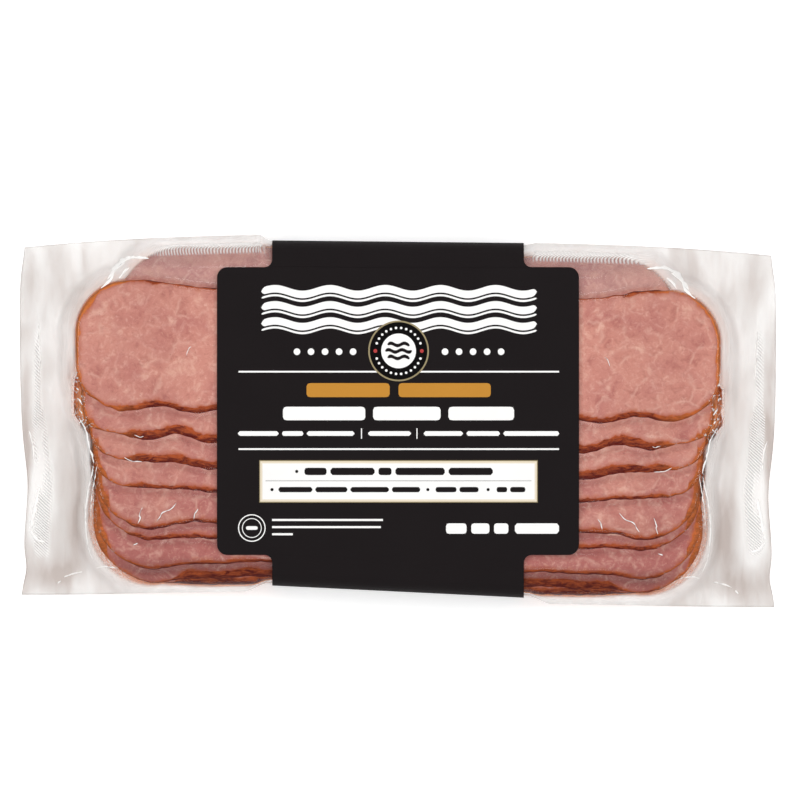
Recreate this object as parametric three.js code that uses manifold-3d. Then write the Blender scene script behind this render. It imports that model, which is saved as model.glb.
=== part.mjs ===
// A clear vacuum pack of sliced bacon with a printed board sleeve round its middle, lying on its back.
// Millimetres: +X runs along the pack, +Y across it and +Z up, and the pack rests on z = 0.

import * as THREE from "three";
import { mergeVertices } from "three/addons/utils/BufferGeometryUtils.js";
import Module from "manifold-3d";

const wasm = await Module();
wasm.setup();

// The film pouch, seen from above
const HALF_LENGTH = 146.1;
const HALF_DEPTH = 69.3;
const END_TAPER = 1.8; // how much less deep each half is at the pack's ends
const DEPTH_SKEW = 0.4; // the +X end is deeper by this, the -X end less deep
const LINE_START = 1.35; // the pack's long centre line, which bows towards -Y at its ends
const LINE_STEP = 2; // and lies further to -Y on the +X side of the sleeve
const LINE_BOW = 3.6;
const STEP_REACH = 60;

// Dents in the film's short edges: place across the pack from the centre line, width and depth
const DENT_FROM = 110; // the film's grid is drawn in with them from here outwards
const END_DENTS = [
  { at: -33, width: 34, depth: 1.9 },
  { at: -24, width: 13, depth: 1.2 },
  { at: -57, width: 6, depth: 1.3 },
  { at: 69, width: 11, depth: 1.9 },
];

// The bacon inside the film
const STACK_HEIGHT = 38;
const STACK_HALF_DEPTH = 66;
const SIDE_FALL = 0.2; // share of the height lost from the middle to the long sides
const END_FALL = 0.14; // share of the height lost from the sleeve to the slices' ends
const END_FALL_FROM = 72;
const END_FALL_TO = 125;
const SIDE_ROUND = 4; // extra drop where the stack rounds over into its long sides
const SIDE_ROUND_FROM = 54;
const SIDE_ROUND_RUN = 12;
const SLICE_WIDTH = 49.6;
const SLICE_STEP = 1.5; // height of each step in the film over a slice's edge
const SLICE_LAP = 8; // a slice climbs over this distance from the edge of the one that lies on it
const LEAN_FROM = 102; // slice edges lean between these two distances from the middle
const LEAN_TO = 69;
const SWAY_RUN = 4; // length of the waves in the slices' lower edges, divided by 2 pi

// Slices that show, from the lowest to the topmost: the reach of their ends from the middle, the place of
// the lower edge across the pack, how far it leans towards the sleeve, the height and shift of its waves, and
// the rounding of the lower corners
const SLICES = [
  { reach: 109, low: 15.4, lean: 0, sway: 0.3, shift: 0, lowCorner: 20, highCorner: 26, dip: 1.2 },
  { reach: 112, low: -64, lean: -1.9, sway: 0, shift: 0, lowCorner: 22 },
  { reach: 117.5, low: -64.6, lean: 1.4, sway: 0.3, shift: 0, lowCorner: 26 },
  { reach: 116.8, low: -59.2, lean: 1.6, sway: 0.3, shift: 0, lowCorner: 24 },
  { reach: 116.3, low: -47.6, lean: -0.3, sway: 0.4, shift: 0, lowCorner: 22 },
  { reach: 116, low: -43.7, lean: 2.2, sway: 0.5, shift: 0, lowCorner: 21 },
  { reach: 117.6, low: -27.4, lean: -2.6, sway: 0.3, shift: 0, lowCorner: 15 },
  { reach: 119, low: -17, lean: -3.9, sway: 0.6, shift: 3, lowCorner: 14 },
  { reach: 121.6, low: -7.8, lean: -2.1, sway: 1.4, shift: 3, lowCorner: 15 },
  { reach: 124, low: 3, lean: -2, sway: 0.9, shift: 10, lowCorner: 17 },
].map((slice) => ({ highCorner: 20, dip: 4.2, ...slice })); // dip: the upper edge's fall to the sleeve

// The film round the bacon, and the flat sealed flange that it ends in
const FILM = 0.3;
const FLANGE_HEIGHT = 12;
const FLANGE_THICKNESS = 0.8;
const FLANGE_WAVE = 1.3;
const FLANGE_WAVE_LENGTH = 47;
const CORNER_LIFT = 1.6;
const WALL_RUN = 6.5; // the film comes down from the bacon to the flange over this distance
const WALL_SHARE = 0.75; // or over this share of the room that there is
const LEAST_WALL = 1.2; // the wall takes at least this much of the room to the film's edge
const BRIDGE = 1.5; // the film's height is a mean over this distance to each side
const FOOT_RUN = 4; // the underside starts to rise this far inside the bacon's outline

// The board sleeve
const BOARD = 0.5;
const GAP = 0.4; // between the film and the board at the sides and underneath
const TOP_GAP = 0.6;
const SLEEVE_HALF_WIDTH = 48.5;
const SLEEVE_HALF_DEPTH = 67.5;
const SLEEVE_TAPER = 0.019; // half depth gained for each millimetre towards +X
const SLEEVE_LINE = 1.48; // the sleeve's own centre line at the middle
const SLEEVE_SLANT = -0.0294;
const SLEEVE_TOP_RADIUS = 7;
const SLEEVE_FOOT_RADIUS = 3;
const CREASE_ANGLE = 72; // where the front panel's crown meets the rounded corner
const FAR_PINCH_RUN = 3; // the pouch's far side narrows over this distance as it enters the sleeve
const NEAR_PINCH_RUN = 10; // and its near side over this one
const PANEL_HALF_WIDTH = 69.7; // the front panel's wings
const PANEL_TOP = 59.1;
const PANEL_BOTTOM = -51.8;
const PANEL_CORNER = 4;
const PANEL_FILLET = 3;
const WING_FLOOR = 20; // only the front panel above this height has wings

// Grid steps
const END_STEP = 3.3;
const MIDDLE_STEP = 14;
const ROW_STEP = 2.8;
const EDGE_ROW_STEP = 1.2;
const EDGE_ROWS = 5;
const PROFILE_STEPS = 18;
const CORNER_STEPS = 8;

const clamp01 = (t) => Math.min(1, Math.max(0, t));

function smooth(t) {
  const s = clamp01(t);
  return s * s * (3 - 2 * s);
}

function centreLine(x) {
  const step = Math.sin((Math.PI / 2) * THREE.MathUtils.clamp(x / STEP_REACH, -1, 1));
  return LINE_START - LINE_STEP * step - LINE_BOW * (x / HALF_LENGTH) ** 2;
}

const sleeveHalfDepth = (x) => SLEEVE_HALF_DEPTH + SLEEVE_TAPER * x;
const sleeveLine = (x) => SLEEVE_LINE + SLEEVE_SLANT * x;

// The pouch's middle line and half depth, both ruled by the sleeve where it pinches the pouch
function pouchSpan(x) {
  const beyond = Math.abs(x) - SLEEVE_HALF_WIDTH - 1;
  const skew = DEPTH_SKEW * THREE.MathUtils.clamp(x / STEP_REACH, -1, 1);
  const free = HALF_DEPTH + skew - END_TAPER * (x / HALF_LENGTH) ** 4;
  const held = sleeveHalfDepth(x) - BOARD - GAP;
  const [inSleeve, line] = [sleeveLine(x), centreLine(x)];
  const far = THREE.MathUtils.lerp(inSleeve + held, line + free, smooth(beyond / FAR_PINCH_RUN));
  const near = THREE.MathUtils.lerp(inSleeve - held, line - free, smooth(beyond / NEAR_PINCH_RUN));
  return { middle: (far + near) / 2, half: (far - near) / 2 };
}

// How far the short edge nearer to x lies from the middle, at a place across
function halfLength(x, y) {
  const across = y - centreLine(Math.sign(x) * HALF_LENGTH);
  return END_DENTS.reduce(
    (length, dent) => length - dent.depth * Math.exp(-(((across - dent.at) / dent.width) ** 2)),
    HALF_LENGTH,
  );
}

// Distance from a slice's edge, positive inside. y is measured from the centre line.
function insideSlice(slice, x, y) {
  const along = Math.abs(x);
  const lean = smooth((LEAN_FROM - along) / (LEAN_FROM - LEAN_TO));
  const sway = slice.sway * Math.cos((along - LEAN_TO - slice.shift) / SWAY_RUN);
  const low = slice.low + slice.lean * lean - sway;
  const high = slice.low + SLICE_WIDTH - slice.dip * lean;
  const side = y < (low + high) / 2 ? slice.lowCorner : slice.highCorner;
  const overX = along - slice.reach + side;
  const overY = Math.abs(y - (low + high) / 2) - (high - low) / 2 + side;
  const outer = Math.hypot(Math.max(overX, 0), Math.max(overY, 0));
  return side - outer - Math.min(Math.max(overX, overY), 0);
}

// The smooth upper envelope of the bacon
function dome(x, y) {
  const side = SIDE_FALL * Math.abs(y / STACK_HALF_DEPTH) ** 2.6;
  const end = END_FALL * smooth((Math.abs(x) - END_FALL_FROM) / (END_FALL_TO - END_FALL_FROM));
  const round = SIDE_ROUND * smooth((Math.abs(y) - SIDE_ROUND_FROM) / SIDE_ROUND_RUN);
  return STACK_HEIGHT * (1 - side) * (1 - end) - round;
}

// Upper surface of the shingled slices and the distance from their common outline, positive inside
function shingles(x, y) {
  let laps = 0;
  let inside = -Infinity;
  for (let i = SLICES.length - 1; i >= 0; i--) {
    const d = insideSlice(SLICES[i], x, y);
    inside = Math.max(inside, d);
    if (d >= 0) break;
    laps += smooth(1 + d / SLICE_LAP);
  }
  return { z: dome(x, y) - SLICE_STEP * Math.min(laps, 2), inside };
}

function flangeHeight(x, y) {
  const end = smooth((Math.abs(x) - 110) / 22);
  const wave = FLANGE_WAVE * Math.sin((2 * Math.PI * y) / FLANGE_WAVE_LENGTH + 0.6 * Math.sign(x));
  return FLANGE_HEIGHT + end * (wave + CORNER_LIFT * (y / HALF_DEPTH) ** 3);
}

// Where a point stands between the bacon and the pouch's edge
function station(x, y) {
  const across = y - centreLine(x);
  const { middle, half } = pouchSpan(x);
  const edge = Math.max(0, Math.min(half - Math.abs(y - middle), halfLength(x, y) - Math.abs(x)));
  const outside = Math.max(-shingles(x, across).inside, LEAST_WALL - edge);
  const run = Math.min(WALL_RUN, WALL_SHARE * (Math.max(outside, 0) + edge));
  return { across, outside, run };
}

function filmOver(x, y) {
  const { across, outside, run } = station(x, y);
  const bacon = FILM + shingles(x, across).z;
  const flange = flangeHeight(x, y);
  return flange + (bacon - flange) * (1 - smooth(outside / run));
}

// The taut film bridges the slices' steps, so its height is a mean over a small patch
function filmTop(x, y) {
  const patch = [-1, -0.5, 0, 0.5, 1].map((share) => share * BRIDGE);
  const lines = patch.map((dx) => patch.reduce((sum, dy) => sum + filmOver(x + dx, y + dy), 0));
  return lines.reduce((sum, line) => sum + line, 0) / patch.length ** 2;
}

function filmBottom(x, y) {
  const { outside, run } = station(x, y);
  const rest = Math.abs(x) < SLEEVE_HALF_WIDTH + 1 ? BOARD + GAP : 0;
  const rise = smooth((outside + FOOT_RUN) / (run + FOOT_RUN));
  return rest + (flangeHeight(x, y) - FLANGE_THICKNESS - rest) * rise;
}

// A manifold-3d solid of a closed geometry
function solidOf(geometry) {
  const bare = new THREE.BufferGeometry().setAttribute("position", geometry.getAttribute("position"));
  if (geometry.index) bare.setIndex(geometry.index);
  const merged = mergeVertices(bare, 1e-4);
  return new wasm.Manifold(
    new wasm.Mesh({
      numProp: 3,
      vertProperties: merged.attributes.position.array,
      triVerts: new Uint32Array(merged.index.array),
    }),
  );
}

function geometryOf(solid) {
  const mesh = solid.getMesh();
  const geometry = new THREE.BufferGeometry();
  geometry.setAttribute("position", new THREE.BufferAttribute(mesh.vertProperties, 3));
  geometry.setIndex(new THREE.BufferAttribute(mesh.triVerts, 1));
  geometry.computeVertexNormals();
  return geometry;
}

function spread(from, to, step) {
  const count = Math.max(1, Math.round(Math.abs(to - from) / step));
  return Array.from({ length: count }, (_, i) => from + ((to - from) * i) / count);
}

// Distances along the pack at which the film's surface is worked out
function columns(endStep, middleStep) {
  const outer = [
    ...spread(HALF_LENGTH, PANEL_HALF_WIDTH - 4, endStep),
    ...spread(PANEL_HALF_WIDTH - 4, SLEEVE_HALF_WIDTH + 4, 6),
    SLEEVE_HALF_WIDTH + 4,
    SLEEVE_HALF_WIDTH + 0.9,
  ];
  const middle = spread(-SLEEVE_HALF_WIDTH + 8, SLEEVE_HALF_WIDTH, middleStep);
  return [...outer.map((x) => -x), ...middle, ...outer.reverse()];
}

// Places across the pack, as shares of its half depth
function rows(step) {
  const edge = Array.from({ length: EDGE_ROWS }, (_, i) => HALF_DEPTH - i * EDGE_ROW_STEP);
  const first = HALF_DEPTH - EDGE_ROWS * EDGE_ROW_STEP;
  const places = [...edge.map((y) => -y), ...spread(-first, first, step), ...edge.reverse()];
  places.splice(places.length - EDGE_ROWS, 0, first);
  return places.map((y) => y / HALF_DEPTH);
}

// A solid between a height surface over the pouch's outline, grown by margin, and a level plane
function surfaceSolid(xs, vs, height, plane, margin) {
  const points = [];
  const index = [];
  const at = (i, j) => i * vs.length + j;
  for (const x of xs) {
    const { middle, half } = pouchSpan(x);
    const share = smooth((Math.abs(x) - DENT_FROM) / (HALF_LENGTH - DENT_FROM));
    for (const v of vs) {
      const y = middle + v * (half + margin);
      const reach = x + Math.sign(x) * share * (halfLength(x, y) + margin - HALF_LENGTH);
      points.push(reach, y, height(reach, y));
    }
  }
  for (let i = 0; i < xs.length - 1; i++) {
    for (let j = 0; j < vs.length - 1; j++) {
      const [a, b, c, d] = [at(i, j), at(i + 1, j), at(i + 1, j + 1), at(i, j + 1)];
      index.push(a, b, c, a, c, d);
    }
  }
  const rim = [];
  for (let i = 0; i < xs.length - 1; i++) rim.push(at(i, 0));
  for (let j = 0; j < vs.length - 1; j++) rim.push(at(xs.length - 1, j));
  for (let i = xs.length - 1; i > 0; i--) rim.push(at(i, vs.length - 1));
  for (let j = vs.length - 1; j > 0; j--) rim.push(at(0, j));
  const firstLow = points.length / 3;
  for (const p of rim) points.push(points[3 * p], points[3 * p + 1], plane);
  const hub = points.length / 3;
  points.push(0, 0, plane);
  rim.forEach((p, k) => {
    const next = (k + 1) % rim.length;
    index.push(p, firstLow + k, rim[next], rim[next], firstLow + k, firstLow + next);
    index.push(hub, firstLow + next, firstLow + k);
  });
  if (plane > FLANGE_HEIGHT) index.reverse();
  const geometry = new THREE.BufferGeometry();
  geometry.setAttribute("position", new THREE.BufferAttribute(new Float32Array(points), 3));
  geometry.setIndex(index);
  return solidOf(geometry);
}

function makePouch() {
  const upper = surfaceSolid(columns(END_STEP, MIDDLE_STEP), rows(ROW_STEP), filmTop, -10, 0);
  const lower = surfaceSolid(columns(1.5 * END_STEP, 2 * MIDDLE_STEP), rows(9), filmBottom, 60, 2);
  return geometryOf(upper.intersect(lower));
}

// The sleeve's section at the middle, moved in by inset from its outer face
function sleeveSection(inset) {
  const half = SLEEVE_HALF_DEPTH - inset;
  const topRadius = SLEEVE_TOP_RADIUS - inset;
  const footRadius = SLEEVE_FOOT_RADIUS - inset;
  const shoulder = half - topRadius;
  const crown = (y) => {
    const fall = SIDE_FALL * Math.abs(y / STACK_HALF_DEPTH) ** 2.6;
    return STACK_HEIGHT * (1 - fall) + FILM + TOP_GAP + BOARD - inset;
  };
  const points = [];
  for (let i = 1 - PROFILE_STEPS; i < PROFILE_STEPS; i++) {
    const y = (shoulder * i) / PROFILE_STEPS;
    points.push([y, crown(y)]);
  }
  const arc = (y, z, radius, from, to) => {
    for (let i = 0; i <= CORNER_STEPS; i++) {
      const angle = THREE.MathUtils.degToRad(from + ((to - from) * i) / CORNER_STEPS);
      points.push([y + radius * Math.cos(angle), z + radius * Math.sin(angle)]);
    }
  };
  const topCentre = crown(shoulder) - topRadius * Math.sin(THREE.MathUtils.degToRad(CREASE_ANGLE));
  arc(shoulder, topCentre, topRadius, CREASE_ANGLE, 0);
  arc(half - footRadius, inset + footRadius, footRadius, 0, -90);
  arc(-(half - footRadius), inset + footRadius, footRadius, -90, -180);
  arc(-shoulder, topCentre, topRadius, 180, 180 - CREASE_ANGLE);
  return points.map(([y, z]) => new THREE.Vector2(y, z));
}

// The sleeve's tube before its ends are trimmed to the cross-shaped front panel
function sleeveTube() {
  const shape = new THREE.Shape(sleeveSection(0));
  shape.holes.push(new THREE.Path(sleeveSection(BOARD).reverse()));
  const length = 2 * PANEL_HALF_WIDTH + 4;
  const geometry = new THREE.ExtrudeGeometry(shape, { depth: length, bevelEnabled: false, steps: 1 });
  const position = geometry.getAttribute("position");
  for (let i = 0; i < position.count; i++) {
    const x = position.getZ(i) - length / 2;
    const y = (position.getX(i) * sleeveHalfDepth(x)) / SLEEVE_HALF_DEPTH;
    position.setXYZ(i, x, sleeveLine(x) + y, position.getY(i));
  }
  return solidOf(geometry);
}

// Plan outline of the front panel with its wings, open past the pack's long sides
function panelOutline() {
  const shape = new THREE.Shape();
  const far = HALF_DEPTH + 20;
  const [band, wing] = [SLEEVE_HALF_WIDTH, PANEL_HALF_WIDTH];
  shape.moveTo(-band, -far);
  shape.lineTo(band, -far);
  shape.lineTo(band, PANEL_BOTTOM - PANEL_FILLET);
  shape.absarc(band + PANEL_FILLET, PANEL_BOTTOM - PANEL_FILLET, PANEL_FILLET, Math.PI, Math.PI / 2, true);
  shape.absarc(wing - PANEL_CORNER, PANEL_BOTTOM + PANEL_CORNER, PANEL_CORNER, -Math.PI / 2, 0);
  shape.absarc(wing - PANEL_CORNER, PANEL_TOP - PANEL_CORNER, PANEL_CORNER, 0, Math.PI / 2);
  shape.absarc(band + PANEL_FILLET, PANEL_TOP + PANEL_FILLET, PANEL_FILLET, -Math.PI / 2, -Math.PI, true);
  shape.lineTo(band, far);
  shape.lineTo(-band, far);
  shape.absarc(-band - PANEL_FILLET, PANEL_TOP + PANEL_FILLET, PANEL_FILLET, 0, -Math.PI / 2, true);
  shape.absarc(-wing + PANEL_CORNER, PANEL_TOP - PANEL_CORNER, PANEL_CORNER, Math.PI / 2, Math.PI);
  shape.absarc(-wing + PANEL_CORNER, PANEL_BOTTOM + PANEL_CORNER, PANEL_CORNER, Math.PI, 1.5 * Math.PI);
  shape.absarc(-band - PANEL_FILLET, PANEL_BOTTOM - PANEL_FILLET, PANEL_FILLET, Math.PI / 2, 0, true);
  return shape;
}

function makeSleeve() {
  const options = { depth: 40, bevelEnabled: false, curveSegments: CORNER_STEPS };
  const panel = new THREE.ExtrudeGeometry(panelOutline(), options).translate(0, 0, WING_FLOOR);
  const band = new THREE.BoxGeometry(2 * SLEEVE_HALF_WIDTH, 4 * HALF_DEPTH, 100);
  return geometryOf(sleeveTube().intersect(solidOf(panel).add(solidOf(band))));
}

const baconInFilm = new THREE.MeshStandardMaterial({ color: 0xc88a7c, roughness: 0.25, metalness: 0 });
const blackBoard = new THREE.MeshStandardMaterial({ color: 0x242021, roughness: 0.5, metalness: 0 });

const pack = new THREE.Group();
const pouch = new THREE.Mesh(makePouch(), baconInFilm);
pouch.name = "sealed_pouch";
const sleeve = new THREE.Mesh(makeSleeve(), blackBoard);
sleeve.name = "board_sleeve";
pack.add(pouch, sleeve);

// The origin is under the middle of the whole pack
const box = new THREE.Box3().setFromObject(pack, true);
const middle = box.getCenter(new THREE.Vector3());
pack.position.set(-middle.x, -middle.y, -box.min.z);

export default pack;
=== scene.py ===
"""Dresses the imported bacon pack: the slices, the clear film round them, the printed board sleeve and the
studio that they are photographed in. Shapes are worked out in millimetres, as in the part's source."""

import math
from dataclasses import dataclass

import bmesh
import bpy
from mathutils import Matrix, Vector, noise
from mathutils.bvhtree import BVHTree


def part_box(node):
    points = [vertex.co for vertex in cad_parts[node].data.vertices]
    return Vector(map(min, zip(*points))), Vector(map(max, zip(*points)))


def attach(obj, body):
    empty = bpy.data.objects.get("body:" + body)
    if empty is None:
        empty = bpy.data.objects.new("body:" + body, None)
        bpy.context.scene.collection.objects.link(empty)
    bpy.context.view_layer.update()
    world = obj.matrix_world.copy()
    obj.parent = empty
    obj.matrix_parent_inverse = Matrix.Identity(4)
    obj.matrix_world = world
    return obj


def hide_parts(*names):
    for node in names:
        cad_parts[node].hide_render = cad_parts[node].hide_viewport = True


bl_info = {
    "name": "Bacon Pack",
    "version": (1, 0, 0),
    "blender": (4, 5, 0),
    "location": "View3D > Sidebar > Bacon Pack",
    "description": "Builds a clear vacuum pack of sliced bacon with a printed board sleeve",
    "category": "Add Mesh",
}

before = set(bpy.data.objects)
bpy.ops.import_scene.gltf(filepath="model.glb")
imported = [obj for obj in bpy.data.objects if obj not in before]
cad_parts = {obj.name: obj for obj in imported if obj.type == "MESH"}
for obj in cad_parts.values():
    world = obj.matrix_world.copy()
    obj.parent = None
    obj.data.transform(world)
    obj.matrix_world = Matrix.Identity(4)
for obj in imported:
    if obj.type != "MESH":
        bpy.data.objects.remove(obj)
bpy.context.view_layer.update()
MM = 0.001

# The film pouch, seen from above. Its middle line steps down under the sleeve and bows at both ends
HALF_LENGTH = 146.1
HALF_DEPTH = 69.3
END_TAPER = 1.8
DEPTH_SKEW = 0.4
LINE_START = 1.35
LINE_STEP = 2
LINE_BOW = 3.6
STEP_REACH = 60
RIGHT_DROP = 4  # how much lower the right half's folds and shades lie
DENT_FROM = 110
END_DENTS = ((-33, 34, 1.9), (-24, 13, 1.2), (-57, 6, 1.3), (69, 11, 1.9))  # place across, width, depth

# The stack of bacon. It falls off to its sides and ends, and its edges are rounded
STACK_HEIGHT = 38
STACK_HALF_DEPTH = 66
SIDE_FALL = 0.2
END_FALL = 0.14
END_FALL_FROM = 72
END_FALL_TO = 125
SIDE_ROUND = 4
SIDE_ROUND_FROM = 54
SIDE_ROUND_RUN = 12
SLICE_WIDTH = 49.6
SLICE_STEP = 1.5  # how far a slice lies under the one that laps over it
SLICE_LAP = 8
LEAN_FROM = 102
LEAN_TO = 69
SWAY_RUN = 4
EDGE_NOISE = 0.55
EDGE_NOISE_LENGTH = 3.4
RIPPLE = 0.35  # unevenness of every slice's face
RIPPLE_LENGTH = 13
STACK_LAYERS = 8
STACK_REACH = 116.4
ENDS_FROM = 90  # distance along the pack from which the smoked ends are shaped
SLICE_CLEARANCE = 0.3  # room that the part's source leaves between bacon and film

# The film's seal and walls
FLANGE_HEIGHT = 12
FLANGE_THICKNESS = 0.8
FLANGE_WAVE = 1.3
FLANGE_WAVE_LENGTH = 47
CORNER_LIFT = 1.6
WALL_RUN = 6.5
WALL_SHARE = 0.75
LEAST_WALL = 1.2
FOOT_RUN = 4

# The board sleeve
BOARD = 0.5
GAP = 0.4
TOP_GAP = 0.6
SLEEVE_HALF_WIDTH = 48.5
SLEEVE_HALF_DEPTH = 67.5
SLEEVE_TAPER = 0.019
SLEEVE_LINE = 1.48
SLEEVE_SLANT = -0.0294
FAR_PINCH_RUN = 3
NEAR_PINCH_RUN = 10

# The photograph's scale and the point under its middle
PIXEL = 0.385
PHOTO_SIZE = 800
PHOTO_CENTRE = (0.77, 7.9)


@dataclass(frozen=True)
class Slice:
    """Reach of a slice's ends, place and lean of its lower edge, and rounding of its corners. Its lower
    edge sways in waves, which shift moves along the pack, and has a smoked rind, widest from rind_from to
    the sleeve. Its upper edge dips towards the sleeve."""

    reach: float
    low: float
    lean: float
    low_corner: float
    sway: float = 0.3
    shift: float = 0
    rind: float = 1.2
    rind_from: float = 89
    high_corner: float = 20
    dip: float = 4.2


# From the lowest slice that shows to the topmost
SLICES = (
    Slice(109, 15.4, 0, 20, rind=0.3, high_corner=26, dip=1.2),
    Slice(112, -64, -1.9, 22, sway=0, rind=2.4, rind_from=68),
    Slice(117.5, -64.6, 1.4, 26, rind=2.6, rind_from=68),
    Slice(116.8, -59.2, 1.6, 24, rind=0.6),
    Slice(116.3, -47.6, -0.3, 22, 0.4, rind=1.1),
    Slice(116, -43.7, 2.2, 21, 0.5, rind=0.9),
    Slice(117.6, -27.4, -2.6, 15, rind=1),
    Slice(119, -17, -3.9, 14, 0.6, 3, rind=2.6, rind_from=90),
    Slice(121.6, -7.8, -2.1, 15, 1.4, 3, rind=3),
    Slice(124, 3, -2, 17, 0.9, 10, rind=1.6, rind_from=96),
)


def clamp(value, low=0.0, high=1.0):
    return min(high, max(low, value))


def smooth(t):
    t = clamp(t)
    return t * t * (3 - 2 * t)


def mix(a, b, t):
    return a + (b - a) * t


def bunch(t, share):
    """Spreads t from -1 to 1 with its ends closer together, by a share from 0 to 1."""
    return mix(t, math.sin(t * math.pi / 2), share)


def mean(values):
    return sum(values) / len(values)


def curve_through(points, share):
    """A place on a smooth curve through points, at a share of its length, and its direction there."""
    at = share * (len(points) - 1)
    leg = min(int(at), len(points) - 2)
    before, start, end, after = (points[min(max(leg + k, 0), len(points) - 1)] for k in (-1, 0, 1, 2))
    t = at - leg
    bend = 2 * before - 5 * start + 4 * end - after
    twist = 3 * start - before - 3 * end + after
    place = start + ((end - before) * t + bend * t**2 + twist * t**3) / 2
    along = (end - before) + 2 * bend * t + 3 * twist * t**2
    return place, along.normalized()


def linear(hex_colour):
    """An sRGB hex colour as linear red, green and blue."""
    parts = [int(hex_colour[i : i + 2], 16) / 255 for i in (1, 3, 5)]
    return tuple(p / 12.92 if p <= 0.04045 else ((p + 0.055) / 1.055) ** 2.4 for p in parts)


# Outlines and heights, as in the part's source


def centre_line(x):
    """The pouch's middle line, from which places across the pack are measured."""
    step = math.sin(math.pi / 2 * clamp(x / STEP_REACH, -1, 1))
    return LINE_START - LINE_STEP * step - LINE_BOW * (x / HALF_LENGTH) ** 2


def sleeve_half_depth(x):
    """Half the sleeve's depth, which grows a little to the right."""
    return SLEEVE_HALF_DEPTH + SLEEVE_TAPER * x


def sleeve_line(x):
    """The sleeve's own middle line, which slants."""
    return SLEEVE_LINE + SLEEVE_SLANT * x


def pouch_span(x):
    """The pouch's middle line and half depth, both ruled by the sleeve where it pinches the pouch."""
    beyond = abs(x) - SLEEVE_HALF_WIDTH - 1
    skew = DEPTH_SKEW * clamp(x / STEP_REACH, -1, 1)
    free = HALF_DEPTH + skew - END_TAPER * (x / HALF_LENGTH) ** 4
    held = sleeve_half_depth(x) - BOARD - GAP
    far = mix(sleeve_line(x) + held, centre_line(x) + free, smooth(beyond / FAR_PINCH_RUN))
    near = mix(sleeve_line(x) - held, centre_line(x) - free, smooth(beyond / NEAR_PINCH_RUN))
    return (far + near) / 2, (far - near) / 2


def near_edge(x):
    """The film's long near edge, measured across from the centre line."""
    middle, half = pouch_span(x)
    return middle - half - centre_line(x)


def half_length(x, y):
    """Half the pouch's length at a place across, its ends dented."""
    across = y - centre_line(math.copysign(HALF_LENGTH, x))
    return HALF_LENGTH - sum(
        depth * math.exp(-(((across - at) / width) ** 2)) for at, width, depth in END_DENTS
    )


def straight_edges(piece, along):
    """A slice's lower and upper edge at a distance along, without its rounded corners."""
    lean = smooth((LEAN_FROM - along) / (LEAN_FROM - LEAN_TO))
    sway = piece.sway * math.cos((along - LEAN_TO - piece.shift) / SWAY_RUN)
    low = piece.low + piece.lean * lean - sway
    return low, piece.low + SLICE_WIDTH - piece.dip * lean


def inside_slice(piece, x, across):
    """Distance from a slice's edge, positive inside."""
    along = abs(x)
    low, high = straight_edges(piece, along)
    middle = (low + high) / 2
    side = piece.low_corner if across < middle else piece.high_corner
    over_x = along - piece.reach + side
    over_y = abs(across - middle) - (high - low) / 2 + side
    outer = math.hypot(max(over_x, 0), max(over_y, 0))
    return side - outer - min(max(over_x, over_y), 0)


def corner_cut(over, radius):
    """How far a rounded corner draws an edge in, at a distance past the corner's start."""
    over = clamp(over, 0, radius)
    return radius - math.sqrt(radius * radius - over * over)


def slice_span(piece, along, inset=0.0):
    """A slice's lower and upper edge with its rounded corners, drawn in by inset."""
    low, high = straight_edges(piece, along)
    reach = piece.reach - inset
    low_radius = max(piece.low_corner - inset, 1)
    high_radius = max(piece.high_corner - inset, 1)
    low += inset + corner_cut(along - reach + low_radius, low_radius)
    high -= inset + corner_cut(along - reach + high_radius, high_radius)
    return low, high


def dome(x, across):
    """The smooth upper envelope of the bacon."""
    side = SIDE_FALL * abs(across / STACK_HALF_DEPTH) ** 2.6
    end = END_FALL * smooth((abs(x) - END_FALL_FROM) / (END_FALL_TO - END_FALL_FROM))
    rounded = SIDE_ROUND * smooth((abs(across) - SIDE_ROUND_FROM) / SIDE_ROUND_RUN)
    return STACK_HEIGHT * (1 - side) * (1 - end) - rounded


def ripple(x, across):
    """The unevenness that all slices share, none under the sleeve."""
    free = smooth((abs(x) - SLEEVE_HALF_WIDTH) / 30)
    return free * RIPPLE * noise.noise(Vector((x, across, 0)) / RIPPLE_LENGTH)


def end_show(across):
    """How far the stack's smoked ends show past the slices, from 0 at the far side to 1 at the near."""
    return smooth((27 - across) / 13)


def bulge(across):
    """Where the smoked ends bulge most, from 0 at the near half to 1 at the middle of the pack."""
    return smooth((across + 9) / 12)


def end_spread(across):
    """How far the smoked ends stand out past the stack's reach."""
    return end_show(across) * (mix(1.6, 8.8, bulge(across)) + 0.8 * smooth((-30 - across) / 14))


def laps_over(first, x, across):
    """How many slices, from number first upwards, lie over a point."""
    laps = 0.0
    for piece in SLICES[first:]:
        laps += smooth(1 + inside_slice(piece, x, across) / SLICE_LAP)
    return laps


def shingles(x, across):
    """Upper surface of the slices and the distance from their common outline, positive inside."""
    laps = 0.0
    inside = -math.inf
    for piece in reversed(SLICES):
        d = inside_slice(piece, x, across)
        inside = max(inside, d)
        if d >= 0:
            break
        laps += smooth(1 + d / SLICE_LAP)
    return dome(x, across) + ripple(x, across) - SLICE_STEP * min(laps, 2), inside


def flange_height(x, y):
    """Upper side of the flat sealed film, which waves at the ends and lifts at the corners."""
    end = smooth((abs(x) - 110) / 22)
    turn = 0.6 * math.copysign(1, x)
    wave = FLANGE_WAVE * math.sin(2 * math.pi * y / FLANGE_WAVE_LENGTH + turn)
    return FLANGE_HEIGHT + end * (wave + CORNER_LIFT * (y / HALF_DEPTH) ** 3)


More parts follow.
